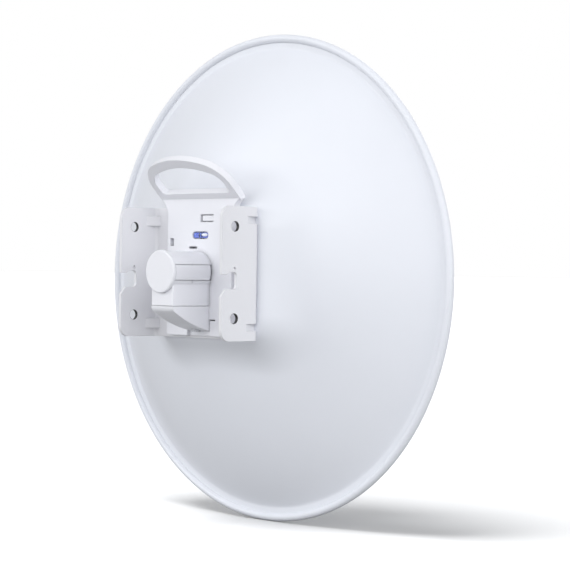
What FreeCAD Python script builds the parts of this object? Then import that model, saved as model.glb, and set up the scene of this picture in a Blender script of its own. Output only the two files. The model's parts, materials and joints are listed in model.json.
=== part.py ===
"""Outdoor wireless bridge: a dish antenna whose radio feed plugs through the hub into a rear housing.

Millimetres, +Z up. The antenna looks along -Y and the mast is on the +Y side. The origin is the middle of
the tilt pivot, the upper pair of bolt holes in the bracket's two walls.
"""

import FreeCAD, Part

import math
import os
import re

import Sketcher

V = FreeCAD.Vector
Rotation = FreeCAD.Rotation
Placement = FreeCAD.Placement

# Driving dimensions, in millimetres and degrees.
SIZES = {
    # dish
    "dish_diameter": 420,
    "bead_diameter": 7,
    "focal_length": 150,
    "bowl_radius": 198,
    "dish_gauge": 1.2,
    "flat_rise": 0.5,
    "rim_offset": 101.5,
    "dish_drop": 42,
    "hub_drop": 37.35,
    "pad_half": 66,
    "pad_half_height": 57,
    "pad_corner": 20,
    "pad_draft": 42,
    "dish_hole": 21,
    # bracket
    "bracket_width": 129.5,
    "bracket_gauge": 3,
    "bracket_top": 16.6,
    "bracket_foot": 93.2,
    "base_depth": 28,
    "wall_reach": 14,
    "bend_radius": 6,
    "wall_corner": 9,
    "pivot_hole": 4.2,
    "hole_pitch": 74.7,
    "index_hole": 1.2,
    "index_rise": 3.4,
    "rib_leg": 12,
    "rib_depth": 5,
    "rib_half": 4.15,
    "rib_offset": 5.4,
    "notch_back": 2.4,
    "notch_floor": 51,
    "notch_roof": 37,
    "notch_lip": 57,
    "base_hole": 17.6,
    "screw_across": 33,
    "screw_spread": 31,
    # rear housing
    "plate_half": 40.5,
    "plate_gauge": 6,
    "plate_bend": 23.7,
    "plate_foot": 91,
    "recess_half": 14.2,
    "recess_roof": 77,
    "recess_depth": 3,
    "tube_radius": 17,
    "tube_wall": 1.8,
    "cap_front": 21.6,
    "cap_gauge": 3,
    "cap_radius": 17.75,
    "box_half": 13.4,
    "box_wall": 2,
    "box_rear": 21.4,
    "seam_drop": 65.6,
    "seam_gap": 0.3,
    "cover_corner": 69,
    "cover_toe": 87,
    "cover_arc": 112,
    "cable_hole": 3.9,
    "slot_left": 2.8,
    "slot_right": 12.6,
    "slot_roof": 16.2,
    "slot_floor": 18,
    "window_left": 32.6,
    "window_right": 37.2,
    "window_roof": 9.3,
    "window_floor": 15.8,
    "catch_height": 1.2,
    "catch_reach": 21,
    # carrying handle
    "handle_lean": 45,
    "handle_reach": 49.3,
    "handle_top": 43.7,
    "handle_crown": 91,
    "handle_corner": 26.7,
    "grip_reach": 42.4,
    "grip_sill": 6.1,
    "grip_top": 34.9,
    "grip_crown": 84,
    "grip_corner": 14.1,
    # side latches
    "latch_front": 19,
    "latch_rear": 21.6,
    "latch_above": 6,
    "latch_below": 7.2,
    "latch_proud": 0.5,
    "latch_gap": 0.35,
    "catch_room": 2.4,
    "trunnion_radius": 0.8,
    # lock tongue, spirit level and moulded slots on the plate
    "tab_left": 1.1,
    "tab_right": 17.3,
    "tab_low": 4.4,
    "tab_high": 10.6,
    "tab_gauge": 2,
    "tab_gap": 0.4,
    "level_drop": 6.7,
    "level_shift": 1.2,
    "level_half": 6.8,
    "level_radius": 3,
    "level_depth": 3,
    # feed
    "neck_radius": 13,
    "neck_rear": 19,
    "feed_radius": 19,
    "feed_wall": 2,
    "feed_front": 150,
    "skirt_radius": 28,
    "radome_radius": 34,
    "radome_front": 193,
    "splash_radius": 29,
    "board_gauge": 1.6,
    "jack_half": 8,
    "jack_rear": 13.5,
    "button_radius": 1.6,
    "running_gap": 0.1,
    # fasteners
    "screw_radius": 1.9,
    "screw_head": 3.6,
    "screw_head_height": 2.4,
}

doc = FreeCAD.newDocument("wireless_bridge")
sheet = doc.addObject("Spreadsheet::Sheet", "Sizes")
for row, (name, number) in enumerate(SIZES.items(), start=1):
    sheet.set(f"A{row}", name)
    sheet.set(f"B{row}", str(number))
    sheet.setAlias(f"B{row}", name)
doc.recompute()

HUB = "-hub_drop"
AXIS_ROTATION = {
    "X": Rotation(V(0, 1, 0), 90),
    "Y": Rotation(V(1, 0, 0), -90),
    "Z": Rotation(),
}
BOWL_RINGS = 3
parts = []


def bound(expression):
    """The expression with every sheet name spelled as Sizes.name, so that any object can use it."""
    words = re.compile(r"[a-z_]+")
    return words.sub(lambda word: f"Sizes.{word[0]}" if word[0] in SIZES else word[0], str(expression))


def value(expression):
    """The number that an expression over the sheet gives."""
    return float(sheet.evalExpression(bound(expression)))


def keep(solid, label):
    """Makes an object a sub-part: its label names its file."""
    solid.Label = label
    parts.append(solid)
    return solid


def check(item):
    """Stops the build if an object failed to compute."""
    if "Invalid" in item.State or "Error" in item.State:
        raise RuntimeError(f"{item.Label} is {item.State}")


# ---- Part primitives ----


def place(solid, x, y, z):
    for axis, where in zip("xyz", (x, y, z)):
        solid.setExpression(f"Placement.Base.{axis}", bound(where))


def block(x, y, z):
    """A box from three (low, high) pairs of expressions."""
    solid = doc.addObject("Part::Box", "Block")
    for side, (low, high) in zip(("Length", "Width", "Height"), (x, y, z)):
        solid.setExpression(side, bound(f"({high}) - ({low})"))
    place(solid, x[0], y[0], z[0])
    return solid


def rod(axis, radius, start, end, centre=("0", HUB)):
    """A cylinder along an axis; centre holds its two other coordinates in X, Y, Z order."""
    solid = doc.addObject("Part::Cylinder", "Rod")
    solid.setExpression("Radius", bound(radius))
    solid.setExpression("Height", bound(f"({end}) - ({start})"))
    solid.Placement.Rotation = AXIS_ROTATION[axis]
    spot = list(centre)
    spot.insert("XYZ".index(axis), start)
    place(solid, *spot)
    return solid


def boolean(kind, base, tool):
    result = doc.addObject(f"Part::{kind}", kind)
    result.Base = base
    result.Tool = tool
    return result


def fuse(*solids):
    if len(solids) == 1:
        return solids[0]
    result = doc.addObject("Part::MultiFuse", "Fuse")
    result.Shapes = list(solids)
    return result


def cut(base, *tools):
    return boolean("Cut", base, fuse(*tools))


def common(base, tool):
    return boolean("Common", base, tool)


def group(*solids):
    """Separate identical solids kept as one sub-part."""
    result = doc.addObject("Part::Compound", "Group")
    result.Links = list(solids)
    return result


# ---- Part Design ----


def new_body(label):
    return keep(doc.addObject("PartDesign::Body", "Body"), label)


def new_sketch(body, plane, offset="0"):
    """A sketch on one of the body's origin planes, shifted along that plane's normal."""
    sketch = body.newObject("Sketcher::SketchObject", "Sketch")
    support = next(item for item in body.Origin.OriginFeatures if item.Role == plane)
    sketch.AttachmentSupport = (support, [""])
    sketch.MapMode = "FlatFace"
    sketch.setExpression("AttachmentOffset.Base.z", bound(offset))
    doc.recompute()
    return sketch


def constrain(sketch, kind, *arguments, expression):
    index = sketch.addConstraint(Sketcher.Constraint(kind, *arguments, value(expression)))
    sketch.setExpression(f"Constraints[{index}]", bound(expression))


def pin_point(sketch, geometry, corner, x, y):
    constrain(sketch, "DistanceX", -1, 1, geometry, corner, expression=x)
    constrain(sketch, "DistanceY", -1, 1, geometry, corner, expression=y)


def arc_between(start, end, radius):
    """The minor arc from start to end; a positive radius has its centre on the left of the way."""
    chord = end - start
    across = V(-chord.y, chord.x, 0).normalize()
    rise = math.sqrt(radius**2 - (chord.Length / 2) ** 2)
    centre = start + chord * 0.5 + across * math.copysign(rise, radius)
    outward = ((start + end) * 0.5 - centre).normalize()
    return Part.Arc(start, centre + outward * abs(radius), end)


def outline(sketch, corners):
    """A closed outline. A corner is (x, y), reached by a line, or (x, y, radius), reached by an arc."""
    points = [V(value(corner[0]), value(corner[1]), 0) for corner in corners]
    first = sketch.GeometryCount
    count = len(corners)
    for index, corner in enumerate(corners):
        before = points[index - 1]
        here = points[index]
        if len(corner) == 3:
            curve = arc_between(before, here, value(corner[2]))
        else:
            curve = Part.LineSegment(before, here)
        sketch.addGeometry(curve, False)
    for index, corner in enumerate(corners):
        edge = first + index
        after = first + (index + 1) % count
        turned = len(corner) == 3 and value(corner[2]) < 0
        next_corner = corners[(index + 1) % count]
        next_turned = len(next_corner) == 3 and value(next_corner[2]) < 0
        end = 1 if turned else 2
        start = 2 if next_turned else 1
        sketch.addConstraint(Sketcher.Constraint("Coincident", edge, end, after, start))
        pin_point(sketch, edge, end, corner[0], corner[1])
        if len(corner) == 3:
            constrain(sketch, "Radius", edge, expression=f"abs({corner[2]})")


def rectangle(sketch, x, y):
    outline(sketch, [(x[0], y[0]), (x[1], y[0]), (x[1], y[1]), (x[0], y[1])])


def rounded_rectangle(sketch, x, y, radius):
    """A rectangle with equal round corners."""
    left, right = x
    low, high = y
    outline(
        sketch,
        [
            (f"({right}) - {radius}", low),
            (right, f"({low}) + {radius}", radius),
            (right, f"({high}) - {radius}"),
            (f"({right}) - {radius}", high, radius),
            (f"({left}) + {radius}", high),
            (left, f"({high}) - {radius}", radius),
            (left, f"({low}) + {radius}"),
            (f"({left}) + {radius}", low, radius),
        ],
    )


def circle(sketch, x, y, radius):
    ring = sketch.addGeometry(Part.Circle(V(value(x), value(y), 0), V(0, 0, 1), value(radius)), False)
    pin_point(sketch, ring, 3, x, y)
    constrain(sketch, "Radius", ring, expression=radius)


def bowl_profile(sketch, vertex, floor):
    """The closed half section under a paraboloid that opens towards -Y, down to the level called floor.

    The parabola is drawn as rings of equal width. Each ring's arc has the parabola's own radius of
    curvature at its middle, which keeps it within 0.03 mm.
    """

    def level(radius):
        return f"{vertex} - ({radius}) ^ 2 / (4 * focal_length)"

    corners = [("0", floor), ("bowl_radius", floor), ("bowl_radius", level("bowl_radius"))]
    for ring in reversed(range(BOWL_RINGS)):
        inner = f"bowl_radius * {ring} / {BOWL_RINGS}"
        middle = f"bowl_radius * {ring + 0.5} / {BOWL_RINGS}"
        curvature = f"2 * focal_length * (1 + ({middle} / (2 * focal_length)) ^ 2) ^ 1.5"
        corners.append((inner, level(inner), curvature))
    outline(sketch, corners)


def feature(body, kind, sketch):
    """Adds a feature from a sketch and checks that it changes the body's volume the right way."""
    before = body.Shape.Volume if body.Tip else 0.0
    made = body.newObject(f"PartDesign::{kind}", kind)
    made.Profile = sketch
    return made, before


def settle(body, kind, before):
    doc.recompute()
    check(body.Tip)
    after = body.Shape.Volume
    removes = kind in ("Pocket", "Groove")
    if (after >= before) if removes else (after <= before):
        raise RuntimeError(f"{body.Label}: {kind} changed nothing")


def extrude(body, kind, plane, draw, low, high, draft=None, turned=False):
    """Pads or pockets between two levels along the plane's axis; draw puts the outline in the sketch."""
    facing = {"XY_Plane": 1, "XZ_Plane": -1, "YZ_Plane": 1}[plane]
    starts_low = ((facing > 0) == (kind == "Pad")) != turned
    start = low if starts_low else high
    sketch = new_sketch(body, plane, f"{facing} * ({start})")
    draw(sketch)
    made, before = feature(body, kind, sketch)
    made.setExpression("Length", bound(f"({high}) - ({low})"))
    made.Reversed = turned
    if draft:
        made.setExpression("TaperAngle", bound(draft))
    settle(body, kind, before)
    return made


def pad(body, plane, draw, low, high, draft=None):
    return extrude(body, "Pad", plane, draw, low, high, draft)


def pocket(body, plane, draw, low, high, draft=None, turned=False):
    return extrude(body, "Pocket", plane, draw, low, high, draft, turned)


def revolve(body, kind, drop, draw):
    """Turns a half section about the Y-parallel axis that lies `drop` below the pivot."""
    sketch = new_sketch(body, "XY_Plane", f"-{drop}")
    draw(sketch)
    made, before = feature(body, kind, sketch)
    made.ReferenceAxis = (sketch, ["V_Axis"])
    made.Angle = 360
    settle(body, kind, before)
    return made


def fillet(body, wanted, radius):
    """Rounds the body's edges that the function wanted picks."""
    base = body.Tip
    names = [f"Edge{number}" for number, edge in enumerate(base.Shape.Edges, start=1) if wanted(edge)]
    rounding = body.newObject("PartDesign::Fillet", "Fillet")
    rounding.Base = (base, names)
    rounding.setExpression("Radius", bound(radius))
    doc.recompute()
    check(rounding)


def runs_along(edge, axis):
    if not isinstance(edge.Curve, Part.Line):
        return False
    return abs(abs(edge.Curve.Direction.dot(axis)) - 1) < 1e-6


def near(number, expression):
    return abs(number - value(expression)) < 1e-3


# ---- Reflector ----

FLAT_REAR = "-rim_offset + flat_rise"
BOWL_REAR = f"{FLAT_REAR} + bowl_radius ^ 2 / (4 * focal_length)"
BEAD_AXIS = "(dish_diameter - bead_diameter) / 2"
BEAD_SECTION = "bead_diameter / 2"
PAD_DEPTH = 36
# How much smaller the pad's inside is, so that its sloped sides keep the sheet's gauge.
PAD_INSET = "dish_gauge * (1 - sin(pad_draft)) / cos(pad_draft)"
SCREW_SPOTS = [
    (f"{side} * screw_across", f"-hub_drop + {height} * screw_spread")
    for side in (-1, 1)
    for height in (-1, 1)
]


def hub_square(inset):
    across = (f"-pad_half + {inset}", f"pad_half - {inset}")
    upright = (f"-hub_drop - pad_half_height + {inset}", f"-hub_drop + pad_half_height - {inset}")
    return lambda sketch: rounded_rectangle(sketch, across, upright, "pad_corner")


def hub_circle(radius):
    return lambda sketch: circle(sketch, "0", HUB, radius)


def screw_circles(radius):
    def draw(sketch):
        for across, height in SCREW_SPOTS:
            circle(sketch, across, height, radius)

    return draw


def make_reflector():
    """A pressed sheet paraboloid with a rolled rim and a raised square pad that the bracket sits on."""
    dish = new_body("reflector")
    inside = f"{BOWL_REAR} - dish_gauge"
    flat_front = f"{FLAT_REAR} - dish_gauge"
    revolve(dish, "Revolution", "dish_drop", lambda s: bowl_profile(s, BOWL_REAR, flat_front))
    pad(dish, "XZ_Plane", hub_square("0"), f"-base_depth - {PAD_DEPTH}", "-base_depth", "pad_draft")
    revolve(dish, "Groove", "dish_drop", lambda s: bowl_profile(s, inside, "-rim_offset - 9"))
    pad_inside = "-base_depth - dish_gauge"
    pad_front = f"{pad_inside} - {PAD_DEPTH}"
    pocket(dish, "XZ_Plane", hub_square(PAD_INSET), pad_front, pad_inside, "pad_draft", True)

    def rim(sketch):
        rectangle(sketch, ("bowl_radius", f"{BEAD_AXIS} - 2.9"), (flat_front, FLAT_REAR))

    def bead(sketch):
        circle(sketch, BEAD_AXIS, "-rim_offset", BEAD_SECTION)
        circle(sketch, BEAD_AXIS, "-rim_offset", f"{BEAD_SECTION} - dish_gauge")

    def bead_seam(sketch):
        across = (f"{BEAD_AXIS} - 1.2", f"{BEAD_AXIS} - 0.4")
        rectangle(sketch, across, ("-rim_offset - 4", "-rim_offset - 1.5"))

    revolve(dish, "Revolution", "dish_drop", rim)
    revolve(dish, "Revolution", "dish_drop", bead)
    revolve(dish, "Groove", "dish_drop", bead_seam)
    pocket(dish, "XZ_Plane", hub_circle("dish_hole"), "-base_depth - 10", "-base_depth + 1")
    pocket(dish, "XZ_Plane", screw_circles("screw_radius + 0.3"), "-base_depth - 10", "-base_depth + 1")


# ---- Mounting bracket ----

BRACKET_HALF = "bracket_width / 2"
WALL_INSIDE = f"({BRACKET_HALF} - bracket_gauge)"
BASE_REAR = "-base_depth + bracket_gauge"
UPRIGHT = V(0, 0, 1)
SIDEWAYS = V(1, 0, 0)


def make_bracket():
    """One sheet-metal channel: a base plate against the dish and two walls that reach back to the mast."""
    bracket = new_body("mount_bracket")

    def channel(sketch):
        outline(
            sketch,
            [
                (f"-{BRACKET_HALF}", "-base_depth"),
                (BRACKET_HALF, "-base_depth"),
                (BRACKET_HALF, "wall_reach"),
                (WALL_INSIDE, "wall_reach"),
                (WALL_INSIDE, BASE_REAR),
                (f"-{WALL_INSIDE}", BASE_REAR),
                (f"-{WALL_INSIDE}", "wall_reach"),
                (f"-{BRACKET_HALF}", "wall_reach"),
            ],
        )

    def outer_bend(edge):
        return runs_along(edge, UPRIGHT) and near(edge.Vertexes[0].Y, "-base_depth")

    def inner_bend(edge):
        return runs_along(edge, UPRIGHT) and near(edge.Vertexes[0].Y, BASE_REAR)

    def wall_corner(edge):
        return runs_along(edge, SIDEWAYS) and near(edge.Vertexes[0].Y, "wall_reach")

    pad(bracket, "XY_Plane", channel, "-bracket_foot", "bracket_top")
    fillet(bracket, outer_bend, "bend_radius")
    fillet(bracket, inner_bend, "bend_radius - bracket_gauge")
    fillet(bracket, wall_corner, "wall_corner")
    for level in (f"bracket_top - rib_offset - rib_half * 2 - 1.6", "-bracket_foot + 6.9"):
        press_ribs(bracket, level)

    def notch(sketch):
        """Lets the walls drop over a pin on the mast: the pin slides in and up under the roof."""
        outline(
            sketch,
            [
                ("wall_reach + 1", "-notch_lip - 1.2"),
                ("wall_reach + 1", "-notch_roof - 2"),
                ("8.5", "-notch_roof - 2"),
                ("5.5", "-notch_roof"),
                ("-notch_back + 3", "-notch_roof"),
                ("-notch_back", "-notch_roof - 3", "3"),
                ("-notch_back", "-notch_floor + 3"),
                ("-notch_back + 3", "-notch_floor", "3"),
                ("9", "-notch_floor"),
            ],
        )

    def wall_holes(sketch):
        circle(sketch, "0", "0", "pivot_hole")
        circle(sketch, "0", "-hole_pitch", "pivot_hole")
        circle(sketch, "0", "-hub_drop + index_rise", "index_hole")

    def base_holes(sketch):
        circle(sketch, "0", HUB, "base_hole")
        screw_circles("screw_radius + 0.3")(sketch)

    across = (f"-{BRACKET_HALF} - 1", f"{BRACKET_HALF} + 1")
    pocket(bracket, "YZ_Plane", notch, *across)
    pocket(bracket, "YZ_Plane", wall_holes, *across)
    pocket(bracket, "XZ_Plane", base_holes, "-base_depth - 1", f"{BASE_REAR} + 1")


def press_ribs(bracket, level):
    """Presses a stiffening rib into both bends: raised inside the channel, hollow outside."""
    top = f"{level} + 2 * rib_half"
    slant = "(1 / rib_depth + 1 / rib_leg - sqrt(1 / rib_depth ^ 2 + 1 / rib_leg ^ 2))"
    hollow = f"(1 + bracket_gauge * {slant})"

    def triangle(side, corner_x, corner_y, scale):
        """The rib's section: rib_leg along the wall and rib_depth along the base, both scaled."""
        x = f"{side} * {corner_x}"
        inward = f"{side} * ({corner_x} - rib_depth * {scale})"
        corners = [(x, corner_y), (x, f"{corner_y} + rib_leg * {scale}"), (inward, corner_y)]
        return lambda sketch: outline(sketch, corners)

    for side in (-1, 1):
        raised = triangle(side, WALL_INSIDE, BASE_REAR, "1")
        pad(bracket, "XY_Plane", raised, level, top)
    for side in (-1, 1):
        sunk = triangle(side, BRACKET_HALF, "-base_depth", hollow)
        pocket(bracket, "XY_Plane", sunk, f"{level} + 1.2", f"{top} - 1.2")


# ---- Rear housing ----

PLATE_REAR = f"{BASE_REAR} + plate_gauge"
PLATE_TOP = "plate_bend + plate_gauge * tan(handle_lean / 2)"
BORE = "(tube_radius - tube_wall)"
BOX_INSIDE = "(box_half - box_wall)"
LATCH_MIDDLE = "(latch_rear - latch_front) / 2"
TRUNNION_ACROSS = "(tube_radius - 2.6)"
LEVEL_HEIGHT = "-level_drop"


def capsule(half, radius, height):
    """A round-ended slot outline for the spirit level."""
    right = f"-level_shift + {half}"
    left = f"-level_shift - {half}"
    return lambda sketch: outline(
        sketch,
        [
            (right, f"{height} - ({radius})"),
            (f"{right} + {radius}", height, radius),
            (right, f"{height} + {radius}", radius),
            (left, f"{height} + {radius}"),
            (f"{left} - ({radius})", height, radius),
            (left, f"{height} - ({radius})", radius),
        ],
    )


def box_corner(edge):
    return runs_along(edge, UPRIGHT) and near(edge.Vertexes[0].Y, "box_rear")


def make_rear_housing():
    """One moulding: back plate with a carrying handle, tube for the feed's neck, box over its socket."""
    housing = new_body("rear_housing")
    shoulder = "plate_bend - 12"

    def plate(sketch):
        outline(
            sketch,
            [
                ("plate_half - 2", "-plate_foot"),
                ("plate_half", "-plate_foot + 2", "2"),
                ("plate_half", shoulder),
                ("handle_reach", "plate_bend", "-18"),
                ("handle_reach", PLATE_TOP),
                ("-handle_reach", PLATE_TOP),
                ("-handle_reach", "plate_bend"),
                ("-plate_half", shoulder, "-18"),
                ("-plate_half", "-plate_foot + 2"),
                ("-plate_half + 2", "-plate_foot", "2"),
            ],
        )

    def toe_recess(sketch):
        rectangle(sketch, ("-recess_half", "recess_half"), ("-plate_foot - 1", "-recess_roof"))

    def box(sketch):
        rectangle(sketch, ("-box_half", "box_half"), ("-seam_drop", HUB))

    def box_room(sketch):
        rectangle(sketch, (f"-{BOX_INSIDE}", BOX_INSIDE), (PLATE_REAR, "box_rear - box_wall"))

    def latch_window(sketch):
        height = ("-hub_drop - latch_below", "-hub_drop + latch_above")
        rectangle(sketch, ("-latch_front", "latch_rear"), height)

    def trunnion_holes(sketch):
        for side in (-1, 1):
            circle(sketch, f"{side} * {TRUNNION_ACROSS}", LATCH_MIDDLE, "trunnion_radius + running_gap")

    def plate_openings(sketch):
        rectangle(sketch, ("-tab_right", "-tab_left"), ("tab_low", "tab_high"))
        rectangle(sketch, ("slot_left", "slot_right"), ("-slot_floor", "-slot_roof"))
        rectangle(sketch, ("window_left", "window_right"), ("-window_floor", "-window_roof"))
        catch = ("-recess_roof - catch_height", "-recess_roof")
        rectangle(sketch, ("-catch_reach", "-recess_half - 0.3"), catch)
        rectangle(sketch, ("recess_half + 0.3", "catch_reach"), catch)

    pad(housing, "XZ_Plane", plate, BASE_REAR, PLATE_REAR)
    add_handle(housing)
    pocket(housing, "XZ_Plane", toe_recess, f"{PLATE_REAR} - recess_depth", f"{PLATE_REAR} + 1")
    pad(housing, "XZ_Plane", hub_circle("tube_radius"), PLATE_REAR, "cap_front")
    pad(housing, "XZ_Plane", box, PLATE_REAR, "box_rear")
    fillet(housing, box_corner, "0.8")
    pocket(housing, "XZ_Plane", hub_circle(BORE), f"{BASE_REAR} - 1", "cap_front + 1")
    pocket(housing, "XY_Plane", box_room, "-seam_drop - 1", HUB)
    for low, high in (("-tube_radius - 2", "-8"), ("8", "tube_radius + 2")):
        pocket(housing, "YZ_Plane", latch_window, low, high)
    window_foot = "-hub_drop - latch_below - 1.4"
    pocket(housing, "XY_Plane", trunnion_holes, window_foot, "-hub_drop + latch_above + 1.4")
    pocket(housing, "XZ_Plane", plate_openings, f"{BASE_REAR} - 1", f"{PLATE_REAR} + 1")
    level_room = capsule("level_half", "(level_radius + 0.1)", LEVEL_HEIGHT)
    pocket(housing, "XZ_Plane", level_room, f"{PLATE_REAR} - level_depth", f"{PLATE_REAR} + 1")
    screw_holes = screw_circles("screw_radius + 0.1")
    pocket(housing, "XZ_Plane", screw_holes, f"{BASE_REAR} - 1", f"{PLATE_REAR} - 1.5")


def add_handle(housing):
    """The plate's top leans back over the tube as a slab of the same gauge, opened out into a handle."""
    foot = "-plate_gauge * tan(handle_lean / 2)"

    def crown(reach, top, crown_radius, corner_radius):
        """Half width, height of the crown's ends, and height where the straight sides stop."""
        lean = f"asin(({reach} - {corner_radius}) / ({crown_radius} - {corner_radius}))"
        across = f"{crown_radius} * sin({lean})"
        height = f"{top} - {crown_radius} * (1 - cos({lean}))"
        spring = f"{top} - {crown_radius} + ({crown_radius} - {corner_radius}) * cos({lean})"
        return across, height, spring

    def loop(sketch):
        across, height, spring = crown("handle_reach", "handle_top", "handle_crown", "handle_corner")
        outline(
            sketch,
            [
                ("handle_reach", foot),
                ("handle_reach", spring),
                (across, height, "handle_corner"),
                (f"-{across}", height, "handle_crown"),
                ("-handle_reach", spring, "handle_corner"),
                ("-handle_reach", foot),
            ],
        )
        across, height, spring = crown("grip_reach", "grip_top", "grip_crown", "grip_corner")
        outline(
            sketch,
            [
                ("grip_reach - 4", "grip_sill"),
                ("grip_reach", "grip_sill + 4", "4"),
                ("grip_reach", spring),
                (across, height, "grip_corner"),
                (f"-{across}", height, "grip_crown"),
                ("-grip_reach", spring, "grip_corner"),
                ("-grip_reach", "grip_sill + 4"),
                ("-grip_reach + 4", "grip_sill", "4"),
            ],
        )

    sketch = new_sketch(housing, "XZ_Plane", f"-({PLATE_REAR})")
    sketch.setExpression("AttachmentOffset.Base.y", bound("plate_bend"))
    lean = Rotation(V(1, 0, 0), -value("handle_lean"))
    sketch.AttachmentOffset = Placement(sketch.AttachmentOffset.Base, lean)
    sketch.setExpression("AttachmentOffset.Rotation.Angle", bound("-handle_lean"))
    doc.recompute()
    loop(sketch)
    made, before = feature(housing, "Pad", sketch)
    made.setExpression("Length", bound("plate_gauge"))
    settle(housing, "Pad", before)


def make_rear_cap():
    """The round cap that closes the tube behind the feed, with a spigot that grips the bore."""
    cap = new_body("rear_cap")

    def section(sketch):
        outline(
            sketch,
            [
                ("0", "cap_front + 0.2"),
                (f"{BORE} - 1.7", "cap_front + 0.2"),
                (f"{BORE} - 1.7", "cap_front - 4.5"),
                (f"{BORE} - 0.1", "cap_front - 4.5"),
                (f"{BORE} - 0.1", "cap_front + 0.1"),
                ("cap_radius", "cap_front + 0.1"),
                ("cap_radius", "cap_front + cap_gauge - 1.2"),
                ("cap_radius - 1.2", "cap_front + cap_gauge", "1.2"),
                ("0", "cap_front + cap_gauge"),
            ],
        )

    revolve(cap, "Revolution", "hub_drop", section)


CABLE_BACK = "-16.5"


def make_port_cover():
    """The curved cover under the box. It slides down off two rails to open the cable socket."""
    cover = new_body("port_cover")
    top = "-seam_drop - seam_gap"

    def side_outline(inset, corner, ceiling):
        """The cover seen from the side, drawn in by inset; corner is what turns its lower rear edge."""
        front = f"{PLATE_REAR} + seam_gap + {inset}"
        toe = f"{PLATE_REAR} - recess_depth + seam_gap + {inset}"
        step = f"-recess_roof - seam_gap - {inset}"
        return lambda sketch: outline(
            sketch,
            [
                (f"box_rear - {inset}", ceiling),
                (front, ceiling),
                (front, step),
                (toe, step),
                (toe, f"-cover_toe + {inset}"),
                *corner,
            ],
        )

    round_corner = [
        ("box_rear - 2.3", "-cover_corner - 1.55", "cover_arc"),
        ("box_rear", "-cover_corner + 2.8", "5.3"),
    ]
    inner_corner = [("box_rear - box_wall", "-cover_corner + box_wall", "cover_arc")]

    def rails(sketch):
        for side in (-1, 1):
            outer = f"{side} * ({BOX_INSIDE} - 0.2)"
            inner = f"{side} * ({BOX_INSIDE} - 1.6)"
            joint = f"{side} * ({BOX_INSIDE} + 0.3)"
            outline(
                sketch,
                [
                    (inner, f"{top} - 4"),
                    (joint, f"{top} - 4"),
                    (joint, f"{top} - 0.8"),
                    (outer, f"{top} - 0.8"),
                    (outer, f"{top} + 6"),
                    (inner, f"{top} + 6"),
                ],
            )

    def cable_exit(sketch):
        circle(sketch, "0", CABLE_BACK, "cable_hole")

    pad(cover, "YZ_Plane", side_outline("0", round_corner, top), "-box_half", "box_half")
    hollow = side_outline("box_wall", inner_corner, f"{top} + 1")
    pocket(cover, "YZ_Plane", hollow, f"-{BOX_INSIDE}", BOX_INSIDE)
    pad(cover, "XZ_Plane", rails, "-9", "9")
    pocket(cover, "XY_Plane", cable_exit, "-cover_toe - 2", "-recess_roof - 1")


def make_cable_grommet():
    """A rubber sleeve in the cover's cable exit."""
    foot = "-cover_toe - 0.4"
    roof = "-recess_roof - 4"
    sleeve = rod("Z", "cable_hole - 0.1", foot, roof, ("0", CABLE_BACK))
    bore = rod("Z", "cable_hole - 1.5", f"{foot} - 1", f"{roof} + 1", ("0", CABLE_BACK))
    keep(cut(sleeve, bore), "cable_grommet")


def make_latch(side, label):
    """A rocker in the tube's side, on two trunnions: press its front end and its rear catch lifts."""
    shell = cut(
        rod("Y", "tube_radius + latch_proud", "-latch_front + catch_room", "latch_rear - latch_gap"),
        rod("Y", "tube_radius - tube_wall + 0.2", "-latch_front", "latch_rear"),
    )
    reach = ("8", "tube_radius + 2") if side > 0 else ("-tube_radius - 2", "-8")
    height = ("-hub_drop - latch_below + latch_gap", "-hub_drop + latch_above - latch_gap")
    panel = common(shell, block(reach, ("-latch_front", "latch_rear"), height))
    spot = (f"{side} * {TRUNNION_ACROSS}", LATCH_MIDDLE)
    low, high = "-hub_drop - latch_below - 1.2", "-hub_drop + latch_above + 1.2"
    pin = rod("Z", "trunnion_radius", low, high, spot)
    keep(fuse(panel, pin), label)


def make_lock_tab():
    """The sprung tongue that holds the housing on the base plate; its root is at its -X end."""
    tongue = block(
        ("-tab_right + tab_gap", "-tab_left - 2"),
        (f"{PLATE_REAR} - 0.6 - tab_gauge", f"{PLATE_REAR} - 0.6"),
        ("tab_low + 2 * tab_gap", "tab_high - 2 * tab_gap"),
    )
    keep(tongue, "lock_tab")


def make_level():
    """A spirit level set in the plate: a clear capsule and the tinted liquid in it."""
    deep = f"{PLATE_REAR} - level_depth"
    vial = new_body("level_vial")
    slot = capsule("level_half", "level_radius", LEVEL_HEIGHT)
    pad(vial, "XZ_Plane", slot, f"{deep} + 0.1", f"{PLATE_REAR} + 0.3")
    room = capsule("level_half", "level_radius - 0.8", LEVEL_HEIGHT)
    pocket(vial, "XZ_Plane", room, f"{deep} - 1", f"{PLATE_REAR} - 0.5")
    fluid = new_body("level_fluid")
    filled = capsule("level_half", "level_radius - 0.85", LEVEL_HEIGHT)
    pad(fluid, "XZ_Plane", filled, f"{deep} + 0.1", f"{PLATE_REAR} - 0.55")


# ---- Feed ----

COLLAR_FRONT = "-base_depth - 2.4"
SKIRT_FRONT = "-base_depth - 6"
JACK_FOOT = "-hub_drop - 12"
BUTTON_BACK = "-7"
RADOME_SCREW_BACK = "-feed_front + 5"


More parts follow.
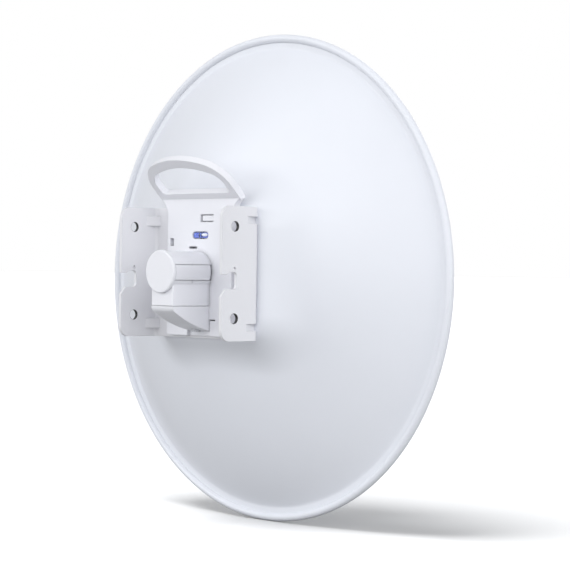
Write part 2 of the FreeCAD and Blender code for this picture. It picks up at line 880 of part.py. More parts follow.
def make_feed_tube():
    """The feed's casing: a wide tube in front of the dish and a neck that plugs through the hub."""
    feed = new_body("feed_tube")
    neck_room = "(neck_radius - feed_wall)"
    wide_room = "(feed_radius - feed_wall)"

    def section(sketch):
        outline(
            sketch,
            [
                ("0", "neck_rear"),
                ("0", "neck_rear - feed_wall"),
                (neck_room, "neck_rear - feed_wall"),
                (neck_room, f"{COLLAR_FRONT}"),
                (wide_room, f"{SKIRT_FRONT} - 2"),
                (wide_room, "-feed_front"),
                ("feed_radius", "-feed_front"),
                ("feed_radius", SKIRT_FRONT),
                ("skirt_radius", SKIRT_FRONT),
                ("skirt_radius", COLLAR_FRONT),
                ("dish_hole - 0.6", COLLAR_FRONT),
                ("dish_hole - 0.6", "-base_depth - 0.6"),
                ("base_hole - 0.8", "-base_depth - 0.6"),
                ("base_hole - 0.8", f"{BASE_REAR} - 0.2"),
                ("neck_radius", f"{BASE_REAR} - 0.2"),
                ("neck_radius", "neck_rear"),
            ],
        )

    def jack_window(sketch):
        rectangle(sketch, ("-jack_half - 0.3", "jack_half + 0.3"), ("-0.8", "jack_rear + 0.3"))

    def button_hole(sketch):
        circle(sketch, "0", BUTTON_BACK, "button_radius + running_gap")

    def catch_hole(sketch):
        rectangle(sketch, ("-latch_front", "-latch_front + 3"), ("-hub_drop - 6.4", "-hub_drop + 5.2"))

    revolve(feed, "Revolution", "hub_drop", section)
    pocket(feed, "XY_Plane", jack_window, "-hub_drop - neck_radius - 1", HUB)
    pocket(feed, "XY_Plane", button_hole, "-hub_drop - neck_radius - 1", HUB)
    for low, high in (("-neck_radius - 1", "-8"), ("8", "neck_radius + 1")):
        pocket(feed, "YZ_Plane", catch_hole, low, high)
    pocket(feed, "YZ_Plane", radome_screw_hole, "-feed_radius - 1", "feed_radius + 1")


def radome_screw_hole(sketch):
    circle(sketch, RADOME_SCREW_BACK, HUB, "1.35")


def make_feed_gasket():
    """A rubber ring between the feed's skirt and the front of the dish."""
    rear = "-base_depth - dish_gauge - 0.05"
    ring = rod("Y", "skirt_radius - 1.5", COLLAR_FRONT, rear)
    keep(cut(ring, rod("Y", "dish_hole + 0.4", f"{COLLAR_FRONT} - 1", f"{rear} + 1")), "feed_gasket")


def make_feed_radome():
    """The plastic dome over the splash plate, pushed over the end of the feed tube."""
    radome = new_body("feed_radome")
    flare = "-feed_front - 22"
    front = "-radome_front"
    inside = "(radome_radius - 2)"

    def section(sketch):
        outline(
            sketch,
            [
                ("feed_radius + 0.1", "-feed_front + 10"),
                ("feed_radius + 0.1", "-feed_front - 0.8"),
                (inside, flare),
                (inside, f"{front} + 4"),
                (f"{inside} - 2", f"{front} + 2"),
                ("0", f"{front} + 2"),
                ("0", front),
                ("radome_radius - 4", front),
                ("radome_radius", f"{front} + 4", "4"),
                ("radome_radius", f"{flare} + 0.6"),
                ("feed_radius + 2", "-feed_front + 0.4"),
                ("feed_radius + 2", "-feed_front + 10"),
            ],
        )

    revolve(radome, "Revolution", "hub_drop", section)
    pocket(radome, "YZ_Plane", radome_screw_hole, "-feed_radius - 3", "feed_radius + 3")


def make_radome_screws():
    def screw(side):
        near_end = "feed_radius - 1.8"
        seat = "feed_radius + 2"
        spot = (RADOME_SCREW_BACK, HUB)
        shank = (near_end, seat) if side > 0 else (f"-({seat})", f"-({near_end})")
        head = (seat, f"{seat} + 1.2") if side > 0 else (f"-({seat}) - 1.2", f"-({seat})")
        return fuse(rod("X", "1.25", *shank, spot), rod("X", "2.3", *head, spot))

    keep(group(screw(-1), screw(1)), "radome_screws")


def make_waveguide():
    """A metal cup and tube that carry the signal from the probes to the splash plate."""
    guide = new_body("waveguide")
    back = "-feed_front"

    def section(sketch):
        outline(
            sketch,
            [
                ("0", f"{back} + 1.5"),
                ("0", back),
                ("11.8", back),
                ("11.8", f"{back} - 22"),
                ("13", f"{back} - 22"),
                ("13", back),
                ("feed_radius - feed_wall - 0.1", back),
                ("feed_radius - feed_wall - 0.1", f"{back} + 1.5"),
            ],
        )

    def probe_holes(sketch):
        for side in (-1, 1):
            circle(sketch, f"{side} * 4", HUB, "1.3")

    revolve(guide, "Revolution", "hub_drop", section)
    pocket(guide, "XZ_Plane", probe_holes, f"{back} - 1", f"{back} + 2")


def make_feed_probes():
    """Two pins from the radio board into the waveguide, one for each polarisation."""
    pins = []
    for side in (-1, 1):
        pins.append(rod("Y", "0.65", "-feed_front - 9", "-feed_front + 3.9", (f"{side} * 4", HUB)))
    keep(group(*pins), "feed_probes")


def make_dielectric_cone():
    """The plastic plug in the waveguide's mouth that spreads the beam and holds the splash plate."""
    mouth = "-feed_front - 22"
    cone = new_body("dielectric_cone")

    def section(sketch):
        outline(
            sketch,
            [
                ("0", f"{mouth} + 6"),
                ("0", f"{mouth} - 15"),
                ("splash_radius - 3", f"{mouth} - 15"),
                ("12.8", f"{mouth} - 0.1"),
                ("11.7", f"{mouth} - 0.1"),
                ("11.7", f"{mouth} + 6"),
            ],
        )

    revolve(cone, "Revolution", "hub_drop", section)


def make_splash_plate():
    """The small metal disc at the focus that turns the beam back onto the dish."""
    rear = "-feed_front - 37.1"
    keep(rod("Y", "splash_radius", f"{rear} - 1.5", rear), "splash_plate")


BOARD_TOP = "-hub_drop + board_gauge / 2"
BOARD_UNDER = "-hub_drop - board_gauge / 2"


def make_radio_board():
    """The circuit board: wide in the tube, with a narrow tail that runs back through the neck."""
    board = new_body("radio_board")

    def shape(sketch):
        outline(
            sketch,
            [
                ("16", "-feed_front + 4"),
                ("16", "-42"),
                ("9.5", "-38"),
                ("9.5", "-1"),
                ("-9.5", "-1"),
                ("-9.5", "-38"),
                ("-16", "-42"),
                ("-16", "-feed_front + 4"),
            ],
        )

    pad(board, "XY_Plane", shape, BOARD_UNDER, BOARD_TOP)


def make_shield_cans():
    """Tinplate lids over the radio and the processor."""

    def can(front, rear):
        lid = block(("-12", "12"), (front, rear), (BOARD_TOP, f"{BOARD_TOP} + 3.5"))
        room = block(
            ("-11.6", "11.6"), (f"{front} + 0.4", f"{rear} - 0.4"), (f"{BOARD_TOP} - 1", f"{BOARD_TOP} + 3.1")
        )
        return cut(lid, room)

    keep(group(can("-138", "-100"), can("-92", "-50")), "shield_cans")


def make_cooling():
    """A soft pad on the processor's lid and the aluminium block that carries its heat to the tube."""
    keep(block(("-10", "10"), ("-88", "-54"), (f"{BOARD_TOP} + 3.5", f"{BOARD_TOP} + 4.5")), "thermal_pad")
    bar = rod("Y", "feed_radius - feed_wall - 0.1", "-90", "-52")
    slab = block(("-12", "12"), ("-91", "-51"), (f"{BOARD_TOP} + 4.5", "-hub_drop + feed_radius"))
    keep(common(bar, slab), "heat_spreader")


def make_ethernet_jack():
    """The cable socket at the end of the board's tail. Its mouth faces down into the box."""
    shell = block(("-jack_half", "jack_half"), ("-0.5", "jack_rear"), (JACK_FOOT, "-hub_drop + 4"))
    mouth = block(("-5.9", "5.9"), ("2.2", "9.4"), (f"{JACK_FOOT} - 1", "-hub_drop + 1.5"))
    clip_way = block(("-3", "3"), ("9.3", "11.6"), (f"{JACK_FOOT} - 1", "-hub_drop - 2"))
    keep(cut(shell, mouth, clip_way), "ethernet_jack")


def make_reset_parts():
    """A button in the neck, beside the socket, and the switch it works on the board."""
    neck_inside = "-hub_drop - neck_radius + feed_wall"
    spot = ("0", BUTTON_BACK)
    tip = rod("Z", "button_radius", "-hub_drop - neck_radius - 0.5", f"{neck_inside} + 0.4", spot)
    collar = rod("Z", "button_radius + 0.9", f"{neck_inside} + 0.35", f"{neck_inside} + 1.3", spot)
    stem = rod("Z", "1", f"{neck_inside} + 1.2", f"{BOARD_UNDER} - 2.5", spot)
    keep(fuse(tip, collar, stem), "reset_button")
    keep(block(("-3", "3"), ("-10", "-4"), (f"{BOARD_UNDER} - 1.8", BOARD_UNDER)), "reset_switch")


def make_housing_screws():
    """Four screws from the front of the dish, through the bracket and into the rear housing."""
    seat = "-base_depth - dish_gauge"

    def screw(spot):
        shank = rod("Y", "screw_radius", seat, f"{PLATE_REAR} - 1.8", spot)
        head = rod("Y", "screw_head", f"{seat} - screw_head_height", seat, spot)
        slots = [
            block(
                (f"({spot[0]}) - {wide}", f"({spot[0]}) + {wide}"),
                (f"{seat} - screw_head_height - 1", f"{seat} - 1"),
                (f"({spot[1]}) - {tall}", f"({spot[1]}) + {tall}"),
            )
            for wide, tall in ((2, 0.4), (0.4, 2))
        ]
        return cut(fuse(shank, head), *slots)

    keep(group(*(screw(spot) for spot in SCREW_SPOTS)), "housing_screws")


make_reflector()
make_bracket()
make_rear_housing()
make_rear_cap()
make_port_cover()
make_cable_grommet()
make_latch(1, "latch_left")
make_latch(-1, "latch_right")
make_lock_tab()
make_level()
make_feed_tube()
make_feed_gasket()
make_feed_radome()
make_radome_screws()
make_waveguide()
make_feed_probes()
make_dielectric_cone()
make_splash_plate()
make_radio_board()
make_shield_cans()
make_cooling()
make_ethernet_jack()
make_reset_parts()
make_housing_screws()

doc.recompute()
for item in doc.Objects:
    check(item)
for item in parts:
    if item.Shape.isNull() or not item.Shape.isValid():
        raise RuntimeError(f"{item.Label} has no valid shape")

os.makedirs("parts", exist_ok=True)
for item in parts:
    item.Shape.exportStep(f"parts/{item.Label}.step")
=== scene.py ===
import json
import math

import bmesh
import bpy
from mathutils import Matrix, Vector


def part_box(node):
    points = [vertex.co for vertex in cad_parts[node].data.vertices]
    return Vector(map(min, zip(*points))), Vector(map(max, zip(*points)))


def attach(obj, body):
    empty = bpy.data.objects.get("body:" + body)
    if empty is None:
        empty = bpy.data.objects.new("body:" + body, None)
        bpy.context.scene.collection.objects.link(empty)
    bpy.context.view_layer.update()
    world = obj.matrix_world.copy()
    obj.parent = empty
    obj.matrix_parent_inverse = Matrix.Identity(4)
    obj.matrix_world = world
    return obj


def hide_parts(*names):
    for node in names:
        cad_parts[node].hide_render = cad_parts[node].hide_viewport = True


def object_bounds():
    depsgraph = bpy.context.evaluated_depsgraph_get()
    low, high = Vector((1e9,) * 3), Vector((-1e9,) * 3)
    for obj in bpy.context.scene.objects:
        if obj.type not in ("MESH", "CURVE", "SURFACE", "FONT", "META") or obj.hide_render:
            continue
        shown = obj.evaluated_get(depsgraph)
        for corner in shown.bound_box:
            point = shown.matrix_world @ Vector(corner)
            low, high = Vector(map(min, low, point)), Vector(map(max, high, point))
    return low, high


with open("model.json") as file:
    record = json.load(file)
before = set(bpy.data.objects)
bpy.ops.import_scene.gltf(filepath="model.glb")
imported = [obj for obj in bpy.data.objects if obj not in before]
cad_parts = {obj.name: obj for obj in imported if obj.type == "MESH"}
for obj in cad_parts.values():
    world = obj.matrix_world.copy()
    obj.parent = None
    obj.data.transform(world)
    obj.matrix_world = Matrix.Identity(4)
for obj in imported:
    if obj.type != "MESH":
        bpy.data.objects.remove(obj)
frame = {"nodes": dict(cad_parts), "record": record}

CAD_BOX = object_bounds()
MM = 0.001

# The photograph's camera, aimed at the middle of the dish's rim.
CAMERA_AZIMUTH = 226.36
CAMERA_ELEVATION = 0.39
CAMERA_ROLL = 0.77
CAMERA_DISTANCE = 1.766
CAMERA_LENS = 128.8
CAMERA_SENSOR = 36.0
CAMERA_SHIFT = (0.0261, -0.0126)

# Soft studio light: a dome, a key, two fills, a lamp for the front of the dish and one for the floor alone.
# Azimuths are the camera's convention.
DOME_TOP = 0.48
DOME_HORIZON = 0.61
DOME_BOTTOM = 0.1
KEY = {"azimuth": 150, "elevation": 16, "strength": 1.28, "softness": 60}
FILL = {"azimuth": 258, "elevation": 8, "strength": 1.94, "softness": 70}
FRONT = {"azimuth": 205, "elevation": 0, "strength": 0.76, "softness": 70}
FLOOR_LIGHT = {"azimuth": 168, "elevation": 67, "strength": 4.2, "softness": 34}
BEHIND = {"azimuth": 20, "elevation": 12, "strength": 0.9, "softness": 60}
COOL_WHITE = (0.975, 0.985, 1.0)

FLOOR_SIZE = 60.0
FLOOR_SEEN = 0.6
FLOOR_BOUNCE = 0.175

# The pressed dish, in metres. The pad is the raised square that the bracket sits on.
DISH_FOCAL_LENGTH = 150 * MM
DISH_GAUGE = 1.2 * MM
BOWL_RADIUS = 198 * MM
BEAD_RADIUS = 3.5 * MM
FLANGE_RISE = 0.5 * MM
PAD_HALF = 66 * MM
PAD_HALF_HEIGHT = 57 * MM
PAD_CORNER = 22 * MM
PAD_SLOPE = 1.11
PAD_BLEND = 11 * MM
PAD_EDGE = 2.5 * MM
HUB_HOLE = 21 * MM
DISH_STEPS = 288
DISH_RINGS = 88

# The spirit level. Shares are of the liquid's length, from its -X end.
LEVEL_NODE = "level_vial"
BUBBLE_SHARE = 0.19
BUBBLE_GAP = 0.01
BUBBLE_DEPTH = 0.55 * MM
MARK_SHARES = {"low": 0.42, "high": 0.58}
MARK_WIDTH = 0.44 * MM
MARK_RISE = 0.04 * MM

TOOL_FEED = 0.35 * MM
RIM_STEPS = 28
ANTENNA = "antenna"


# ---------------------------------------------------------------- materials


class Finish:
    """A material under construction: a principled shader and the nodes that feed it."""

    def __init__(self, name, colour, roughness, metallic=0.0):
        self.material = bpy.data.materials.new(name)
        self.material.use_nodes = True
        self.tree = self.material.node_tree
        self.shader = self.tree.nodes["Principled BSDF"]
        self.output = self.tree.nodes["Material Output"]
        self.coordinates = self.tree.nodes.new("ShaderNodeTexCoord").outputs["Object"]
        self.colour = self.rgb(colour)
        self.shader.inputs["Roughness"].default_value = roughness
        self.shader.inputs["Metallic"].default_value = metallic
        self.height = None
        self.edge = None

    def set(self, **values):
        """Sets the shader's plain inputs; an underscore stands for a space."""
        for key, value in values.items():
            self.shader.inputs[key.replace("_", " ")].default_value = value
        return self

    def node(self, kind, **settings):
        made = self.tree.nodes.new(kind)
        for key, value in settings.items():
            setattr(made, key, value)
        return made

    def link(self, source, target):
        self.tree.links.new(source, target)

    def rgb(self, colour):
        made = self.node("ShaderNodeRGB")
        made.outputs[0].default_value = (*colour, 1.0)
        return made.outputs[0]

    def stretched(self, stretch):
        """Object coordinates multiplied along X, Y and Z."""
        mapping = self.node("ShaderNodeMapping")
        mapping.inputs["Scale"].default_value = stretch
        self.link(self.coordinates, mapping.inputs["Vector"])
        return mapping.outputs["Vector"]

    def noise(self, grain, detail=2.0, rough=0.5, stretch=(1, 1, 1)):
        """Noise whose grains are about `grain` metres across."""
        made = self.node("ShaderNodeTexNoise")
        made.inputs["Scale"].default_value = 1 / grain
        made.inputs["Detail"].default_value = detail
        made.inputs["Roughness"].default_value = rough
        self.link(self.stretched(stretch), made.inputs["Vector"])
        return made.outputs["Fac"]

    def cells(self, grain, stretch=(1, 1, 1)):
        made = self.node("ShaderNodeTexVoronoi")
        made.inputs["Scale"].default_value = 1 / grain
        self.link(self.stretched(stretch), made.inputs["Vector"])
        return made.outputs["Distance"]

    def remap(self, value, low, high, start=0.0, end=1.0):
        """Maps value from start..end to low..high, held at the ends."""
        made = self.node("ShaderNodeMapRange")
        for key, number in (("From Min", start), ("From Max", end), ("To Min", low), ("To Max", high)):
            made.inputs[key].default_value = number
        self.link(value, made.inputs["Value"])
        return made.outputs["Result"]

    def math(self, operation, first, second):
        made = self.node("ShaderNodeMath", operation=operation)
        for socket, value in zip(made.inputs, (first, second)):
            if isinstance(value, (int, float)):
                socket.default_value = value
            else:
                self.link(value, socket)
        return made.outputs[0]

    def tint(self, factor, colour, strength=1.0):
        """Blends the colour so far towards another where factor is high."""
        made = self.node("ShaderNodeMix", data_type="RGBA")
        self.link(self.math("MULTIPLY", factor, strength), made.inputs[0])
        self.link(self.colour, made.inputs[6])
        made.inputs[7].default_value = (*colour, 1.0)
        self.colour = made.outputs[2]
        return self

    def emboss(self, height, depth):
        """Adds a height field, depth metres from lowest to highest."""
        scaled = self.math("MULTIPLY", height, depth)
        self.height = scaled if self.height is None else self.math("ADD", self.height, scaled)
        return self

    def roughen(self, value, low, high):
        self.link(self.remap(value, low, high, 0.3, 0.7), self.shader.inputs["Roughness"])
        return self

    def soft_edges(self, radius):
        """Shades every edge as if it had that radius."""
        bevel = self.node("ShaderNodeBevel", samples=6)
        bevel.inputs["Radius"].default_value = radius
        self.edge = bevel.outputs["Normal"]
        return self

    def bores(self, mounts, colour):
        """Tints the walls of the round mounts that run along X."""
        for mount in mounts:
            radius = mount["dims"]["r_mm"] * MM * 1.03
            centred = self.node("ShaderNodeMapping")
            centred.inputs["Location"].default_value = (0, *(-place for place in mount["pos_m"][1:]))
            centred.inputs["Scale"].default_value = (0, 1, 1)
            self.link(self.coordinates, centred.inputs["Vector"])
            distance = self.node("ShaderNodeVectorMath", operation="LENGTH")
            self.link(centred.outputs["Vector"], distance.inputs[0])
            self.tint(self.math("LESS_THAN", distance.outputs["Value"], radius), colour)
        return self

    def paint_crevice_shade(self, reach, colour, strength):
        """Paints shade into the bottoms of seams and corners: darker colour where ambient occlusion finds
        nearby surfaces.
        """
        shade = self.node("ShaderNodeAmbientOcclusion", samples=6, only_local=True)
        shade.inputs["Distance"].default_value = reach
        return self.tint(self.remap(shade.outputs["AO"], 1.0, 0.0, 0.35, 0.95), colour, strength)

    def done(self):
        self.link(self.colour, self.shader.inputs["Base Color"])
        normal = self.edge
        if self.height is not None:
            bump = self.node("ShaderNodeBump")
            bump.inputs["Strength"].default_value = 1.0
            bump.inputs["Distance"].default_value = 1.0
            self.link(self.height, bump.inputs["Height"])
            if normal is not None:
                self.link(normal, bump.inputs["Normal"])
            normal = bump.outputs["Normal"]
        if normal is not None:
            self.link(normal, self.shader.inputs["Normal"])
        return self.material


def powder_coat(name, colour, edge, gloss=0.36, bores=()):
    """Polyester powder on sheet metal: orange peel, faint flow marks, dark walls in its bolt holes."""
    finish = Finish(name, colour, gloss).set(IOR=1.46, Coat_Weight=0.15, Coat_Roughness=0.25)
    flow = finish.remap(finish.noise(90 * MM, 3), 0, 1, 0.35, 0.7)
    finish.tint(flow, [c * 0.965 for c in colour], 0.5)
    specks = finish.remap(finish.noise(0.6 * MM, 1), 0, 1, 0.62, 0.8)
    finish.tint(specks, [c * 0.93 for c in colour], 0.25)
    finish.roughen(finish.noise(14 * MM, 3), gloss - 0.04, gloss + 0.07)
    finish.emboss(finish.noise(2.4 * MM, 2), 0.02 * MM)
    finish.emboss(finish.noise(0.5 * MM, 1), 0.004 * MM)
    # painted shade: darker powder in seams and corners
    finish.paint_crevice_shade(6 * MM, [c * 0.8 for c in colour], 0.25)
    finish.bores(bores, (0.012, 0.012, 0.014))
    return finish.soft_edges(edge).done()


def moulded_plastic(name, colour, edge=0.5 * MM, roughness=0.42):
    """Outdoor plastic with the fine spark texture of its mould and faint flow marks."""
    finish = Finish(name, colour, roughness).set(
        IOR=1.5, Subsurface_Weight=0.12, Subsurface_Scale=1.5 * MM, Subsurface_Radius=(1.0, 1.0, 1.0)
    )
    flow = finish.noise(30 * MM, 2, 0.6, (1, 1, 0.35))
    finish.tint(finish.remap(flow, 0, 1, 0.4, 0.7), [c * 0.97 for c in colour], 0.45)
    finish.roughen(finish.noise(8 * MM, 3), roughness - 0.05, roughness + 0.08)
    finish.emboss(finish.noise(0.35 * MM, 2, 0.7), 0.006 * MM)
    finish.emboss(flow, 0.05 * MM)
    # painted shade: much darker plastic in seams, gaps and corners
    finish.paint_crevice_shade(4 * MM, [c * 0.4 for c in colour], 0.6)
    return finish.soft_edges(edge).done()


def rubber(name, colour):
    finish = Finish(name, colour, 0.78).set(IOR=1.45)
    finish.tint(finish.remap(finish.noise(0.8 * MM, 3), 0, 1, 0.5, 0.8), [c * 2.2 for c in colour], 0.6)
    finish.emboss(finish.noise(0.3 * MM, 2), 0.015 * MM)
    return finish.soft_edges(0.3 * MM).done()


def clear_plastic(name):
    """The level's capsule. It stays see-through without refraction, so that the liquid reads clearly."""
    finish = Finish(name, (0.93, 0.96, 1.0), 0.06).set(IOR=1.49)
    facing = finish.node("ShaderNodeLayerWeight")
    facing.inputs["Blend"].default_value = 0.3
    haze = finish.remap(finish.noise(4 * MM, 3), 0.0, 0.02, 0.4, 0.8)
    alpha = finish.math("ADD", finish.remap(facing.outputs["Facing"], 0.01, 0.3), haze)
    finish.link(alpha, finish.shader.inputs["Alpha"])
    return finish.soft_edges(0.3 * MM).done()


def tinted_liquid(name, colour):
    """Blue dye with a painted glow of its own, paler blue where the surface turns away from the camera, and
    painted highlight streaks across it.
    """
    finish = Finish(name, colour, 0.25)
    # painted glow: a faint blue emission, though the liquid is no lamp
    finish.set(IOR=1.36, Emission_Strength=0.1, Emission_Color=(0.05, 0.16, 1.0, 1.0))
    facing = finish.node("ShaderNodeLayerWeight")
    facing.inputs["Blend"].default_value = 0.5
    finish.tint(facing.outputs["Facing"], (0.03, 0.12, 0.8), 0.5)
    # painted highlight: lighter blue streaks across the liquid
    highlight_streaks = finish.noise(2.2 * MM, 1, 0.5, (1, 0.1, 0.1))
    finish.tint(finish.remap(highlight_streaks, 0, 1, 0.5, 0.62), (0.14, 0.4, 1.0), 0.8)
    return finish.done()


def brushed_metal(name, colour, roughness=0.3, stretch=(1, 1, 24)):
    finish = Finish(name, colour, roughness, 1.0)
    lines = finish.noise(2.5 * MM, 3, 0.6, stretch)
    finish.tint(finish.remap(lines, 0, 1, 0.4, 0.7), [c * 0.82 for c in colour], 0.5)
    finish.roughen(lines, roughness - 0.08, roughness + 0.12)
    finish.emboss(lines, 0.006 * MM)
    return finish.soft_edges(0.25 * MM).done()


def turned_metal(name, colour, axis_height):
    """Lathe-turned aluminium: fine rings about the feed's axis."""
    finish = Finish(name, colour, 0.3, 1.0)
    centred = finish.node("ShaderNodeMapping")
    centred.inputs["Location"].default_value = (0, 0, -axis_height)
    centred.inputs["Scale"].default_value = (1, 0, 1)
    finish.link(finish.coordinates, centred.inputs["Vector"])
    distance = finish.node("ShaderNodeVectorMath", operation="LENGTH")
    finish.link(centred.outputs["Vector"], distance.inputs[0])
    turns = finish.math("MULTIPLY", distance.outputs["Value"], math.tau / TOOL_FEED)
    rings = finish.math("SINE", turns, 0)
    finish.tint(finish.remap(finish.noise(6 * MM, 3), 0, 1, 0.4, 0.7), [c * 0.85 for c in colour], 0.5)
    finish.emboss(finish.remap(rings, 0, 1, -1, 1), 0.004 * MM)
    finish.roughen(finish.noise(1.2 * MM, 2), 0.24, 0.38)
    return finish.soft_edges(0.25 * MM).done()


def circuit_board(name, mask):
    """Green solder mask with the slightly raised tracks that run along the board."""
    finish = Finish(name, mask, 0.3).set(Coat_Weight=0.3)
    tracks = finish.node("ShaderNodeTexBrick", offset=0.5)
    tracks.inputs["Scale"].default_value = 1 / (4 * MM)
    tracks.inputs["Mortar Size"].default_value = 0.06
    tracks.inputs["Brick Width"].default_value = 1.7
    tracks.inputs["Row Height"].default_value = 0.22
    finish.link(finish.stretched((1, 1, 1)), tracks.inputs["Vector"])
    finish.tint(tracks.outputs["Fac"], [c * 2.1 for c in mask], 0.8)
    finish.tint(finish.remap(finish.cells(1.9 * MM), 1, 0, 0.08, 0.12), (0.75, 0.62, 0.3), 0.8)
    finish.emboss(tracks.outputs["Fac"], 0.03 * MM)
    return finish.done()


def soft_silicone(name, colour):
    finish = Finish(name, colour, 0.7).set(Subsurface_Weight=0.2, Subsurface_Scale=1 * MM)
    grain = finish.remap(finish.noise(0.5 * MM, 2), 0, 1, 0.45, 0.75)
    finish.tint(grain, [c * 1.4 for c in colour], 0.5)
    finish.emboss(finish.cells(1.1 * MM), 0.03 * MM)
    return finish.soft_edges(0.3 * MM).done()


def make_finishes():
    """One finish for each material slot of the record."""
    feed_low, feed_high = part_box("feed_tube")
    feed_axis = (feed_low.z + feed_high.z) / 2
    bolt_holes = [m for m in frame["record"]["mounts"] if m["name"] in ("tilt_pivot", "tilt_lock_left")]
    return {
        "dish_paint": powder_coat("dish_paint", (0.83, 0.85, 0.905), 1.2 * MM),
        "bracket_paint": powder_coat("bracket_paint", (0.815, 0.815, 0.845), 0.7 * MM, 0.4, bolt_holes),
        "housing_plastic": moulded_plastic("housing_plastic", (0.875, 0.88, 0.925), 0.9 * MM),
        "feed_plastic": moulded_plastic("feed_plastic", (0.86, 0.87, 0.91)),
        "black_rubber": rubber("black_rubber", (0.018, 0.018, 0.02)),
        "grey_rubber": rubber("grey_rubber", (0.5, 0.51, 0.54)),
        "vial_clear": clear_plastic("vial_clear"),
        "vial_fluid": tinted_liquid("vial_fluid", (0.012, 0.05, 0.5)),
        "screw_steel": brushed_metal("screw_steel", (0.62, 0.62, 0.63)),
        "bare_aluminium": turned_metal("bare_aluminium", (0.74, 0.75, 0.77), feed_axis),
        "probe_brass": brushed_metal("probe_brass", (0.72, 0.52, 0.2), 0.25),
        "cone_plastic": moulded_plastic("cone_plastic", (0.8, 0.79, 0.74)),
        "board_laminate": circuit_board("board_laminate", (0.02, 0.16, 0.06)),
        "tinplate": brushed_metal("tinplate", (0.66, 0.67, 0.68), 0.34, (1, 6, 1)),
        "thermal_pad": soft_silicone("thermal_pad", (0.2, 0.26, 0.42)),
        "dark_plastic": moulded_plastic("dark_plastic", (0.03, 0.03, 0.033)),
    }


def paint_nodes(finishes):
    for part in frame["record"]["subparts"]:
        mesh = frame["nodes"][part["node"]].data
        mesh.materials.clear()
        mesh.materials.append(finishes[part["material_slot"]])


# ---------------------------------------------------------------- dish


def smooth_max(first, second, reach):
    overlap = max(reach - abs(first - second), 0.0) / reach
    return max(first, second) + overlap * overlap * reach / 4


class Pressing:
    """The dish as one sheet pressing: a paraboloid that flows into the raised square pad at its hub."""

    def __init__(self):
        low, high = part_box("reflector")
        tube_low, tube_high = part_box("feed_tube")
        self.axis = (low.z + high.z) / 2
        self.hub = (tube_low.z + tube_high.z) / 2
        self.pad_level = high.y
        self.rim_radius = high.x
        self.rim_level = low.y + BEAD_RADIUS
        self.flange = self.rim_level + FLANGE_RISE
        self.vertex = self.flange + BOWL_RADIUS**2 / (4 * DISH_FOCAL_LENGTH)

    def rear(self, x, z):
        """The Y level of the back surface."""
        bowl = self.vertex - (x * x + (z - self.axis) ** 2) / (4 * DISH_FOCAL_LENGTH)
        across = abs(x) - PAD_HALF + PAD_CORNER
        upright = abs(z - self.hub) - PAD_HALF_HEIGHT + PAD_CORNER
        beyond = math.hypot(max(across, 0), max(upright, 0))
        outside = beyond + min(max(across, upright), 0) - PAD_CORNER
        fall = smooth_max(outside, 0.0, PAD_EDGE)
        return smooth_max(bowl, self.pad_level - fall * PAD_SLOPE, PAD_BLEND)

    def front(self, x, z):
        """The Y level of the front surface, one gauge away from the back."""
        step = 0.2 * MM
        slope_x = (self.rear(x + step, z) - self.rear(x - step, z)) / (2 * step)
        slope_z = (self.rear(x, z + step) - self.rear(x, z - step)) / (2 * step)
        return self.rear(x, z) - DISH_GAUGE * math.sqrt(1 + slope_x**2 + slope_z**2)

    def circle(self, share):
        """Centre height and radius of the circle that far from the hub hole to the bowl's edge."""
        return self.hub + (self.axis - self.hub) * share, HUB_HOLE + (BOWL_RADIUS - HUB_HOLE) * share

    def rim_profile(self):
        """(radius, y) from the bowl's back, round the rolled bead, to the bowl's front."""
        centre = self.rim_radius - BEAD_RADIUS
        lift = math.asin(FLANGE_RISE / BEAD_RADIUS)
        fall = math.asin((DISH_GAUGE - FLANGE_RISE) / BEAD_RADIUS)
        start, end = math.pi - lift, -math.pi + fall
        points = [(BOWL_RADIUS + 0.8 * MM, self.flange), (centre - BEAD_RADIUS - 0.3 * MM, self.flange)]
        for k in range(RIM_STEPS + 1):
            a = start + (end - start) * k / RIM_STEPS
            x, y = BEAD_RADIUS * math.cos(a), BEAD_RADIUS * math.sin(a)
            points.append((centre + x, self.rim_level + y))
        front = self.flange - DISH_GAUGE
        return points + [(centre - BEAD_RADIUS - 0.3 * MM, front), (BOWL_RADIUS + 0.2 * MM, front)]


def make_dish(finish):
    pressing = Pressing()
    turn = [math.tau * k / DISH_STEPS for k in range(DISH_STEPS)]
    shape = bmesh.new()
    rings = []

    def bowl_ring(share, level):
        height, radius = pressing.circle(share)
        spots = [(radius * math.cos(a), height + radius * math.sin(a)) for a in turn]
        rings.append([shape.verts.new((x, level(x, z), z)) for x, z in spots])

    shares = [k / DISH_RINGS for k in range(DISH_RINGS + 1)]
    for share in shares:
        bowl_ring(share, pressing.rear)
    for radius, y in pressing.rim_profile():
        spots = [(radius * math.cos(a), pressing.axis + radius * math.sin(a)) for a in turn]
        rings.append([shape.verts.new((x, y, z)) for x, z in spots])
    for share in reversed(shares[:-1]):
        bowl_ring(share, pressing.front)
    for ring, after in zip(rings, rings[1:] + rings[:1]):
        for k in range(DISH_STEPS):
            after_k = (k + 1) % DISH_STEPS
            shape.faces.new((ring[k], ring[after_k], after[after_k], after[k]))
    bmesh.ops.recalc_face_normals(shape, faces=shape.faces)
    mesh = bpy.data.meshes.new("dish_pressing")
    shape.to_mesh(mesh)
    shape.free()
    mesh.shade_smooth()
    mesh.set_sharp_from_angle(angle=math.radians(38))
    dish = bpy.data.objects.new("dish_pressing", mesh)
    bpy.context.scene.collection.objects.link(dish)
    dish.data.materials.append(finish)
    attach(dish, ANTENNA)
    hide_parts("reflector")


# ---------------------------------------------------------------- spirit level


